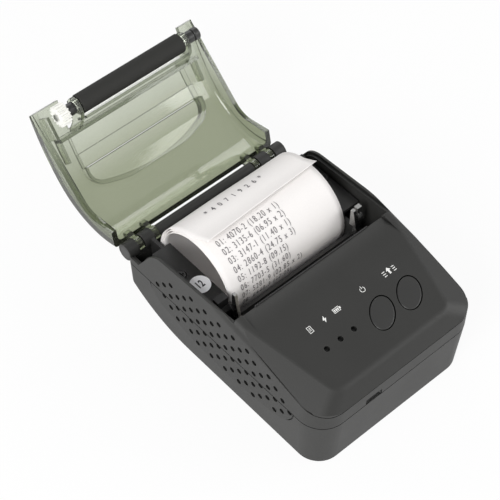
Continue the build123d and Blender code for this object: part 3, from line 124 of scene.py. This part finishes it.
def product_node(tree, first, second):
    """The product of two nodes' colours."""
    product = tree.nodes.new("ShaderNodeMixRGB")
    product.blend_type = "MULTIPLY"
    product.inputs["Fac"].default_value = 1.0
    wire(tree, first, "Color", product, "Color1")
    wire(tree, second, "Color", product, "Color2")
    return product


def math_node(tree, operation, source, output, other):
    """An operation on one output and on a number or another (node, output) pair."""
    result = tree.nodes.new("ShaderNodeMath")
    result.operation = operation
    wire(tree, source, output, result, 0)
    if isinstance(other, tuple):
        wire(tree, *other, result, 1)
    else:
        result.inputs[1].default_value = other
    return result


def ramp_node(tree, source, output, stops):
    """A colour ramp driven by one output; stops are (place, colour) pairs."""
    ramp = tree.nodes.new("ShaderNodeValToRGB")
    elements = ramp.color_ramp.elements
    for number, (place, colour) in enumerate(stops):
        element = elements[number] if number < 2 else elements.new(place)
        element.position = place
        element.color = (*colour, 1)
    wire(tree, source, output, ramp, "Fac")
    return ramp


def shade(colour, factor):
    """A colour made lighter or darker."""
    return tuple(min(1.0, part * factor) for part in colour)


def surface(name, colour, roughness, metallic=0.0, grain=2600.0, depth=0.012, blotch=0.05,
            spread=0.06, specular=0.5, transmission=0.0, stretch=None, absorb=None,
            edge=0.0, edge_radius=0.35, edge_tone=2.6, painted_shade_reach=0.0, painted_low_shade=None):
    """A material with a fine grain, slight blotches, edges toned for wear and painted light, and painted
    shade in grooves.

    Depths, radii and heights are in millimetres, and grain is in cycles per metre. absorb is a colour
    and a density. The last argument is two heights and the colour that the lower one has and the upper one
    hasn't: painted shade, darker towards the bottom.
    """
    material = bpy.data.materials.new(name)
    material.use_nodes = True
    tree = material.node_tree
    shader = tree.nodes["Principled BSDF"]
    shader.inputs["Metallic"].default_value = metallic
    shader.inputs["Specular IOR Level"].default_value = specular
    shader.inputs["Transmission Weight"].default_value = transmission
    coordinates = tree.nodes.new("ShaderNodeTexCoord")
    if stretch:
        mapping = tree.nodes.new("ShaderNodeMapping")
        mapping.inputs["Scale"].default_value = stretch
        wire(tree, coordinates, "Object", mapping, "Vector")
        fine = noise_node(tree, mapping, "Vector", grain, detail=3.0, roughness=0.5)
    else:
        fine = noise_node(tree, coordinates, "Object", grain, detail=3.0, roughness=0.55)
    broad = noise_node(tree, coordinates, "Object", scale=55.0, detail=4.0, roughness=0.6)
    tone = ramp_node(tree, broad, "Fac", [
        (0.3, shade(colour, 1 - blotch)), (0.7, shade(colour, 1 + blotch)),
    ])
    speck = ramp_node(tree, fine, "Fac", [
        (0.35, shade(colour, 1 - 2 * blotch)), (0.65, shade(colour, 1 + blotch)),
    ])
    mix = tree.nodes.new("ShaderNodeMixRGB")
    mix.inputs["Fac"].default_value = speck_share
    wire(tree, tone, "Color", mix, "Color1")
    wire(tree, speck, "Color", mix, "Color2")
    colour_source = mix
    # Edge tone, partly wear and partly painted light: lighter edges on the dark plastics stand for wear and
    # a painted highlight, and the cover's darker edges are painted shade
    if edge:
        bevel = tree.nodes.new("ShaderNodeBevel")
        bevel.samples = 4
        bevel.inputs["Radius"].default_value = edge_radius * MM
        geometry = tree.nodes.new("ShaderNodeNewGeometry")
        dot = tree.nodes.new("ShaderNodeVectorMath")
        dot.operation = "DOT_PRODUCT"
        wire(tree, bevel, "Normal", dot, 0)
        wire(tree, geometry, "Normal", dot, 1)
        rubbed_and_painted_light_edges = ramp_node(tree, dot, "Value", [
            (edge_cosines[0], (edge, edge, edge)), (edge_cosines[1], (0, 0, 0)),
        ])
        rubbed_and_painted_light_colour = tree.nodes.new("ShaderNodeMixRGB")
        rubbed_and_painted_light_colour.inputs["Color2"].default_value = (*shade(colour, edge_tone), 1)
        wire(tree, rubbed_and_painted_light_edges, "Color", rubbed_and_painted_light_colour, "Fac")
        wire(tree, colour_source, "Color", rubbed_and_painted_light_colour, "Color1")
        colour_source = rubbed_and_painted_light_colour
    # Painted shade: occlusion darkens the colour in narrow grooves and seams
    if painted_shade_reach:
        groove_occlusion = tree.nodes.new("ShaderNodeAmbientOcclusion")
        groove_occlusion.samples = 8
        groove_occlusion.inputs["Distance"].default_value = painted_shade_reach * MM
        shaded_grooves = ramp_node(tree, groove_occlusion, "AO", [
            (groove_openness[0], (painted_groove_shade, painted_groove_shade, painted_groove_shade)),
            (groove_openness[1], (1, 1, 1)),
        ])
        colour_source = product_node(tree, colour_source, shaded_grooves)
    # Painted shade: the colour darkens towards the bottom, below the upper height
    if painted_low_shade:
        low, high, painted_shade_colour = painted_low_shade
        split = tree.nodes.new("ShaderNodeSeparateXYZ")
        wire(tree, coordinates, "Object", split, "Vector")
        rise = tree.nodes.new("ShaderNodeMapRange")
        rise.inputs["From Min"].default_value = low * MM
        rise.inputs["From Max"].default_value = high * MM
        wire(tree, split, "Z", rise, "Value")
        painted_shade_ramp = ramp_node(tree, rise, "Result", [(0.0, painted_shade_colour), (1.0, (1, 1, 1))])
        colour_source = product_node(tree, colour_source, painted_shade_ramp)
    wire(tree, colour_source, "Color", shader, "Base Color")
    gloss = tree.nodes.new("ShaderNodeMapRange")
    gloss.inputs["To Min"].default_value = max(0.0, roughness - spread)
    gloss.inputs["To Max"].default_value = min(1.0, roughness + spread)
    wire(tree, broad, "Fac", gloss, "Value")
    wire(tree, gloss, "Result", shader, "Roughness")
    bump = tree.nodes.new("ShaderNodeBump")
    bump.inputs["Strength"].default_value = 1.0
    bump.inputs["Distance"].default_value = depth * MM
    wire(tree, fine, "Fac", bump, "Height")
    wire(tree, bump, "Normal", shader, "Normal")
    if absorb:
        depth_colour, density = absorb
        inside = tree.nodes.new("ShaderNodeVolumeAbsorption")
        inside.inputs["Color"].default_value = (*depth_colour, 1)
        inside.inputs["Density"].default_value = density
        wire(tree, inside, "Volume", tree.nodes["Material Output"], "Volume")
    return material


finishes = {
    # The dark plastics' lighter edges are partly wear and partly a painted highlight, and the case and
    # buttons get painted shade in their grooves
    "case_plastic": dict(colour=(0.025, 0.025, 0.0235), roughness=0.52, grain=3200, depth=0.022,
                         edge=0.5, specular=0.45, painted_shade_reach=1.4),
    "button_plastic": dict(colour=(0.026, 0.026, 0.025), roughness=0.48, grain=3600, edge=0.5,
                           painted_shade_reach=1.0),
    # The cover's darker edges and its darkening towards the bottom are painted shade
    "cover_plastic": dict(colour=(0.90, 0.92, 0.85), roughness=0.06, spread=0.03, grain=900,
                          depth=0.005, blotch=0.03, transmission=0.95,
                          absorb=((0.36, 0.41, 0.27), 280), edge=0.9, edge_radius=0.45,
                          edge_tone=0.22, painted_low_shade=(29, 47, (0.56, 0.58, 0.48))),
    "dark_steel": dict(colour=(0.10, 0.10, 0.10), roughness=0.5, metallic=1.0, grain=1800, depth=0.006),
    "frame_plastic": dict(colour=(0.012, 0.012, 0.012), roughness=0.45, edge=0.4, edge_radius=0.2),
    "bucket_plastic": dict(colour=(0.018, 0.018, 0.0175), roughness=0.42, grain=3000, edge=0.5),
    "hinge_plastic": dict(colour=(0.02, 0.02, 0.02), roughness=0.4, edge=0.4, edge_radius=0.2),
    "bearing_plastic": dict(colour=(0.03, 0.03, 0.029), roughness=0.35, edge=0.3, edge_radius=0.2),
    "frame_steel": dict(colour=(0.64, 0.64, 0.63), roughness=0.26, metallic=1.0, grain=1800, depth=0.004),
    "gear_plastic": dict(colour=(0.84, 0.84, 0.80), roughness=0.38, grain=2000, depth=0.004, blotch=0.03),
    "roller_rubber": dict(colour=(0.024, 0.024, 0.022), roughness=0.72, depth=0.03,
                          stretch=(3.0, 1.0, 1.0), specular=0.3),
    "steel": dict(colour=(0.60, 0.60, 0.58), roughness=0.28, metallic=1.0, grain=1500, depth=0.003,
                  stretch=(4.0, 1.0, 1.0)),
    "latch_steel": dict(colour=(0.68, 0.68, 0.67), roughness=0.25, metallic=1.0, grain=1800, depth=0.004),
    "motor_steel": dict(colour=(0.50, 0.50, 0.49), roughness=0.36, metallic=1.0, grain=1500, depth=0.004),
    "screw_steel": dict(colour=(0.55, 0.55, 0.54), roughness=0.3, metallic=1.0, grain=2200, depth=0.005),
    "socket_steel": dict(colour=(0.62, 0.62, 0.61), roughness=0.25, metallic=1.0, grain=2200, depth=0.003),
    "brass": dict(colour=(0.76, 0.56, 0.26), roughness=0.3, metallic=1.0, grain=1800, depth=0.003),
    "head_aluminium": dict(colour=(0.70, 0.70, 0.70), roughness=0.35, metallic=1.0, grain=1400, depth=0.005,
                           stretch=(0.3, 3.0, 3.0)),
    "head_ceramic": dict(colour=(0.82, 0.78, 0.70), roughness=0.2, grain=1200, depth=0.002, blotch=0.03),
    "flex_film": dict(colour=(0.48, 0.20, 0.04), roughness=0.25, grain=700, depth=0.002, blotch=0.12),
    "paper": dict(colour=(0.85, 0.825, 0.81), roughness=0.62, grain=1500, depth=0.01, blotch=0.015,
                  specular=0.25),
    "sticker_paper": dict(colour=(0.86, 0.86, 0.88), roughness=0.5, grain=2200, depth=0.005, blotch=0.02),
    "battery_wrap": dict(colour=(0.02, 0.05, 0.11), roughness=0.3, grain=500, depth=0.01, blotch=0.1),
    "board": dict(colour=(0.012, 0.12, 0.05), roughness=0.35, grain=600, depth=0.02, blotch=0.2),
    "chip_plastic": dict(colour=(0.022, 0.022, 0.022), roughness=0.55, grain=3000, depth=0.01),
    "led_plastic": dict(colour=(0.008, 0.008, 0.008), roughness=0.25, grain=900, depth=0.002),
    "print_white": dict(colour=(0.80, 0.80, 0.78), roughness=0.5, grain=3000, depth=0.004, blotch=0.04),
    "print_ink": dict(colour=(0.02, 0.02, 0.022), roughness=0.5, grain=3000, depth=0.002, blotch=0.1),
    "print_black": dict(colour=(0.15, 0.14, 0.15), roughness=0.6, grain=3000, depth=0.002, blotch=0.3),
}
materials = {name: surface(name, **values) for name, values in finishes.items()}


def dress(piece, material):
    """Give every material slot of a piece one material."""
    if not piece.material_slots:
        piece.data.materials.append(material)
    for material_slot in piece.material_slots:
        material_slot.material = material


for node, piece in frame["nodes"].items():
    dress(piece, materials[slots_by_node[node]])
for node in ("tear_bar", "ledge_screws"):
    dress(frame["nodes"][node], materials["dark_steel"])


# Meshes

def new_piece(name, mesh, body, slot, material=None):
    """Link a mesh as a piece that rides on a CAD body and takes a slot's finish."""
    piece = bpy.data.objects.new(name, mesh)
    bpy.context.scene.collection.objects.link(piece)
    dress(piece, materials[material or slot])
    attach(piece, body)
    return piece


def smooth(mesh):
    """Shade a mesh smoothly."""
    for polygon in mesh.polygons:
        polygon.use_smooth = True


def bake_modifiers(piece):
    """Apply a piece's modifiers to its mesh."""
    bpy.context.view_layer.update()
    evaluated = piece.evaluated_get(bpy.context.evaluated_depsgraph_get())
    piece.modifiers.clear()
    piece.data = bpy.data.meshes.new_from_object(evaluated)


# Paper, in millimetres, with the roll's middle as y and z

paper_width = 57.5
paper_thickness = 0.12
sheet_trim = 0.3
sheet_inset = 0.08
roll_radius = 20.5
roll_centre = (26.2, 30.0)
layer_step = 0.45
half_turns = 5
samples_per_half_turn = 28
least_samples = 4
columns_across = 24

# The sheet's unevenness: phases in radians over its width and length, waves over its length
ripple_height = 0.06
ripple_phase_across = 9
ripple_phase_along = 11
lean_height = 0.12
lean_waves = 2.2

# The free end: where it leaves the roll, and how far it is shifted, lifted (more at its left)
# and turned
flap_angle = radians(78)
flap_direction = Vector((-sin(flap_angle), cos(flap_angle)))
flap_straight = 7.0
flap_steps = 10
flap_shift = 1.6
flap_lift = 1.2
flap_lift_reach = 1.3
flap_skew = 0.5


def layers():
    """The sheet's half turns from the outside inwards: middle, radius, start and end angle."""
    centre, radius = roll_centre[0], roll_radius
    turns = [(centre, radius, flap_angle, 0.0)]
    side = 1
    angle = 0.0
    for _ in range(half_turns):
        centre += side * layer_step
        radius -= layer_step
        turns.append((centre, radius, angle, angle - pi))
        angle -= pi
        side = -side
    return turns


def sheet_line():
    """Points of the sheet seen from its end, as y and z, from the free edge inwards."""
    start = Vector(roll_centre) + roll_radius * Vector((cos(flap_angle), sin(flap_angle)))
    line = []
    for step in range(flap_steps):
        back = 1 - step / flap_steps
        line.append(start + flap_direction * flap_straight * back)
    for centre, radius, start_angle, end_angle in layers():
        samples = round(samples_per_half_turn * abs(end_angle - start_angle) / pi)
        steps = max(least_samples, samples)
        for step in range(steps):
            angle = start_angle + (end_angle - start_angle) * step / steps
            y = centre + radius * cos(angle)
            z = roll_centre[1] + radius * sin(angle)
            line.append(Vector((y, z)))
    return line


def paper_sheet():
    """The loosely wound receipt paper, thin and slightly uneven, with a lifted free end."""
    line = sheet_line()
    count = len(line)
    mesh = bpy.data.meshes.new("paper_sheet")
    form = bmesh.new()
    rows = []
    for index, point in enumerate(line):
        inward = Vector(roll_centre) - point
        inward.normalize()
        depth_in = index / count
        row = []
        free = max(0.0, 1 - index / flap_steps)
        for column in range(columns_across + 1):
            part = column / columns_across
            x = (part - 0.5) * (paper_width - sheet_trim) + flap_shift * free
            phase = ripple_phase_across * part + ripple_phase_along * depth_in
            ripple = ripple_height * sin(phase) * sin(pi * part)
            lean = lean_height * sin(2 * pi * depth_in * lean_waves) * (part - 0.5)
            lift = flap_lift * (flap_lift_reach - part) * free ** 2
            shift = inward * (sheet_inset + ripple + abs(lean) - lift)
            shift += flap_direction * flap_straight * free * flap_skew * (0.5 - part)
            y, z = point.x + shift.x, point.y + shift.y
            row.append(form.verts.new((x * MM, y * MM, z * MM)))
        rows.append(row)
    for first, second in zip(rows, rows[1:]):
        for column in range(columns_across):
            form.faces.new((first[column], second[column], second[column + 1], first[column + 1]))
    form.to_mesh(mesh)
    form.free()
    smooth(mesh)
    piece = new_piece("paper_sheet", mesh, "paper", "paper")
    thick = piece.modifiers.new("thickness", "SOLIDIFY")
    thick.thickness = paper_thickness * MM
    thick.offset = 0
    bake_modifiers(piece)
    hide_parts("paper_roll")
    flatten(piece)


def flatten(piece):
    """Give a piece of the roll its own copy of its mesh."""
    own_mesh(piece)


# Printed digits, in millimetres; digit_share is a digit's height in shares of the font's size

digit_share = 0.7
letter_width = 0.68
ink_thickness = 0.03
ink_lift = 0.07
sticker_number_place = (-35.2, 17.0, 37.14)
first_row_angle = radians(108.5)
heading_angle = radians(68)
row_pitch = 3.83
printed_rows = (
    "01: 4070-2 (18.20 x 1)", "02: 3135-6 (06.95 x 2)", "03: 3147-1 (11.40 x 1)",
    "04: 2860-4 (24.75 x 3)", "05: 1192-8 (09.15)", "06: 7703-5 (31.60)",
    "07: 5281-9 (02.85 x 2)", "08: 6440-3 (17.05)",
)


def text_mesh(words, height, spacing, boldness):
    """Flat mesh of a row of digits with the given height."""
    data = bpy.data.curves.new("row", "FONT")
    data.body = words
    data.size = height / digit_share
    data.space_character = spacing
    data.resolution_u = 3
    data.extrude = ink_thickness / 2
    data.offset = boldness
    text = bpy.data.objects.new("row", data)
    bpy.context.scene.collection.objects.link(text)
    bpy.context.view_layer.update()
    evaluated = text.evaluated_get(bpy.context.evaluated_depsgraph_get())
    mesh = bpy.data.meshes.new_from_object(evaluated)
    bpy.data.objects.remove(text)
    for vertex in mesh.vertices:
        vertex.co.x *= letter_width
    return mesh


def bent_text(name, words, layer, angle, left, height, spacing, boldness):
    """A row of digits round a layer of the paper, from left in x, with its baseline at angle."""
    centre, radius = layer[:2]
    mesh = text_mesh(words, height, spacing, boldness)
    for vertex in mesh.vertices:
        turn = angle - vertex.co.y / radius
        reach = radius + ink_lift + vertex.co.z
        vertex.co = Vector((
            (left + vertex.co.x) * MM,
            (centre + reach * cos(turn)) * MM,
            (roll_centre[1] + reach * sin(turn)) * MM,
        ))
    flatten(new_piece(name, mesh, "paper", "paper", "print_black"))


def sticker_number():
    """A plain number on the round sticker."""
    mesh = text_mesh("12", height=3.1, spacing=1.1, boldness=0.12)
    for vertex in mesh.vertices:
        vertex.co = (vertex.co + Vector(sticker_number_place)) * MM
    new_piece("sticker_number", mesh, "case", "sticker_paper", "print_ink")


def print_rows():
    """Made-up rows of digits below the paper's free end, and one bold row on the outer layer."""
    top_layer, _, row_layer = layers()[:3]
    for number, words in enumerate(printed_rows):
        angle = first_row_angle + number * row_pitch / row_layer[1]
        bent_text(f"paper_row_{number}", words, row_layer, angle, left=-23.2, height=2.7,
                  spacing=1.22, boldness=-0.03)
    bent_text("paper_heading", "* 4 0 7 1 9 2 6 *", top_layer, heading_angle, left=-16.5,
              height=2.8, spacing=1.45, boldness=0.05)


# Printed marks on the panel, in millimetres; panel_front is y and z of a point near its front edge

panel_front = (-48.5, 36.6)
panel_slope = 0.191
mark_foot = 0.004
mark_height = 0.03


def panel_point(x, y, lift):
    """A point on the control panel's plane, given from above, lifted square to it."""
    length = hypot(1, panel_slope)
    z = panel_front[1] + panel_slope * (y - panel_front[0])
    return Vector((x, y - lift * panel_slope / length, z + lift / length)) * MM


def mark(name, outlines, x, y):
    """White printed outlines, given about their middle, lying on the panel at x and y."""
    form = bmesh.new()
    for outline in outlines:
        low, high = [], []
        for across, along in outline:
            up = along / hypot(1, panel_slope)
            low.append(form.verts.new(panel_point(x + across, y + up, mark_foot)))
            high.append(form.verts.new(panel_point(x + across, y + up, mark_height)))
        form.faces.new(high)
        form.faces.new(list(reversed(low)))
        for first in range(len(outline)):
            second = (first + 1) % len(outline)
            form.faces.new((low[first], low[second], high[second], high[first]))
    bmesh.ops.recalc_face_normals(form, faces=form.faces)
    mesh = bpy.data.meshes.new(name)
    form.to_mesh(mesh)
    form.free()
    new_piece(name, mesh, "case", "case_plastic", "print_white")


def bar(x_low, x_high, y_low, y_high):
    """A rectangle's outline."""
    return [(x_low, y_low), (x_high, y_low), (x_high, y_high), (x_low, y_high)]


def arc_bands(radius, width, start, end, steps=20):
    """A round band from start to end in degrees, as short four-sided outlines."""
    bands = []
    for step in range(steps):
        first = radians(start + (end - start) * step / steps)
        second = radians(start + (end - start) * (step + 1) / steps)
        inner, outer = radius - width / 2, radius + width / 2
        bands.append([
            (inner * cos(first), inner * sin(first)), (outer * cos(first), outer * sin(first)),
            (outer * cos(second), outer * sin(second)), (inner * cos(second), inner * sin(second)),
        ])
    return bands


def panel_marks():
    """Plain symbols where the printer's panel is labelled."""
    line = 0.22
    power = arc_bands(1.0, line, 125, 415) + [bar(-line / 2, line / 2, 0.3, 1.5)]
    mark("mark_power", power, 7.0, -24.1)
    feed = [
        [(0, 1.4), (-1.1, 0.1), (-0.4, 0.1), (-0.4, -1.4), (0.4, -1.4), (0.4, 0.1), (1.1, 0.1)],
        bar(-3.0, -1.7, -1.4, -1.1), bar(-3.0, -1.7, -0.5, -0.2), bar(-3.0, -1.7, 0.4, 0.7),
        bar(1.7, 3.0, -1.4, -1.1), bar(1.7, 3.0, -0.5, -0.2), bar(1.7, 3.0, 0.4, 0.7),
    ]
    mark("mark_feed", feed, 20.2, -24.1)
    battery = [
        bar(-1.7, 1.3, 0.75, 0.95), bar(-1.7, 1.3, -0.95, -0.75), bar(-1.7, -1.5, -0.75, 0.75),
        bar(1.1, 1.3, -0.75, 0.75), bar(1.3, 1.7, -0.4, 0.4),
        bar(-1.25, -0.75, -0.5, 0.5), bar(-0.5, 0.0, -0.5, 0.5), bar(0.25, 0.75, -0.5, 0.5),
    ]
    mark("mark_battery", battery, -6.1, -24.4)
    bolt = [
        [(0.3, 1.4), (-0.9, -0.2), (-0.1, -0.2), (0.25, 0.3)],
        [(-0.3, -1.4), (0.9, 0.2), (0.1, 0.2), (-0.25, -0.3)],
    ]
    mark("mark_charge", bolt, -12.4, -24.6)
    sheet = [
        bar(-0.9, 0.9, 1.1, 1.3), bar(-0.9, -0.7, -1.2, 1.1), bar(0.7, 0.9, -1.2, 1.1),
        bar(-0.9, 0.9, -1.4, -1.2), bar(-0.4, 0.4, 0.4, 0.6), bar(-0.4, 0.4, -0.1, 0.1),
        bar(-0.4, 0.4, -0.6, -0.4),
    ]
    mark("mark_paper", sheet, -19.4, -24.6)


# Room and light, in metres and watts

floor_grey = 0.82
floor_whiteness = 0.92
floor_through_cover = 0.25
floor_half = 3.0
floor_drop = 0.0002
horizon_strength = 0.62
zenith_strength = 0.37


def staged(name, mesh, material):
    """Link a mesh as part of the set."""
    piece = bpy.data.objects.new(name, mesh)
    bpy.context.scene.collection.objects.link(piece)
    piece.data.materials.append(material)


def floor_material():
    """A pale floor that cameras and gloss see as nearly white, with the object's shadow kept."""
    material = bpy.data.materials.new("floor")
    material.use_nodes = True
    tree = material.node_tree
    tree.nodes.clear()
    output = tree.nodes.new("ShaderNodeOutputMaterial")
    plain = tree.nodes.new("ShaderNodeBsdfDiffuse")
    plain.inputs["Color"].default_value = (floor_grey, floor_grey, floor_grey, 1)
    bright = tree.nodes.new("ShaderNodeEmission")
    bright.inputs["Strength"].default_value = 1.0
    path = tree.nodes.new("ShaderNodeLightPath")
    seen = math_node(tree, "MAXIMUM", path, "Is Camera Ray", (path, "Is Glossy Ray"))
    share = math_node(tree, "MULTIPLY", seen, "Value", floor_whiteness)
    through = math_node(tree, "MULTIPLY", path, "Is Transmission Ray", floor_through_cover)
    either = math_node(tree, "MAXIMUM", share, "Value", (through, "Value"))
    mix = tree.nodes.new("ShaderNodeMixShader")
    wire(tree, either, "Value", mix, "Fac")
    wire(tree, plain, "BSDF", mix, 1)
    wire(tree, bright, "Emission", mix, 2)
    wire(tree, mix, "Shader", output, "Surface")
    return material


def add_floor():
    """A large floor under the printer."""
    mesh = bpy.data.meshes.new("floor")
    corners = [(x * floor_half, y * floor_half, -floor_drop)
               for x, y in ((-1, -1), (1, -1), (1, 1), (-1, 1))]
    mesh.from_pydata(corners, [], [(0, 1, 2, 3)])
    staged("floor", mesh, floor_material())


def add_light(name, place, target, size, power):
    """A rectangular soft light aimed at a point."""
    data = bpy.data.lights.new(name, "AREA")
    data.shape = "RECTANGLE"
    data.size, data.size_y = size
    data.energy = power
    lamp = bpy.data.objects.new(name, data)
    lamp.location = place
    lamp.rotation_euler = (Vector(target) - Vector(place)).to_track_quat("-Z", "Y").to_euler()
    bpy.context.scene.collection.objects.link(lamp)


def add_world():
    """A soft grey surround, darker overhead, that is white to the camera and through the cover."""
    world = bpy.data.worlds.new("world")
    bpy.context.scene.world = world
    world.use_nodes = True
    tree = world.node_tree
    background = tree.nodes["Background"]
    background.inputs["Color"].default_value = (1, 1, 1, 1)
    path = tree.nodes.new("ShaderNodeLightPath")
    seen = math_node(tree, "MAXIMUM", path, "Is Camera Ray", (path, "Is Transmission Ray"))
    coordinates = tree.nodes.new("ShaderNodeTexCoord")
    split = tree.nodes.new("ShaderNodeSeparateXYZ")
    wire(tree, coordinates, "Generated", split, "Vector")
    sky = tree.nodes.new("ShaderNodeMapRange")
    sky.inputs["To Min"].default_value = horizon_strength
    sky.inputs["To Max"].default_value = zenith_strength
    wire(tree, split, "Z", sky, "Value")
    strength = math_node(tree, "MAXIMUM", seen, "Value", (sky, "Result"))
    wire(tree, strength, "Value", background, "Strength")


add_camera()
add_world()
add_floor()
add_light("key", (-0.80, -0.22, 0.62), target=(0, 0.03, 0.03), size=(0.5, 0.5), power=8.6)
add_light("fill", (0.65, -0.45, 0.45), target=(0, 0.0, 0.03), size=(0.6, 0.4), power=3.2)
add_light("back", (0.35, 0.75, 0.55), target=(0, 0.05, 0.03), size=(0.45, 0.3), power=1.2)
paper_sheet()
print_rows()
sticker_number()
panel_marks()
bpy.context.scene.view_settings.view_transform = "Standard"
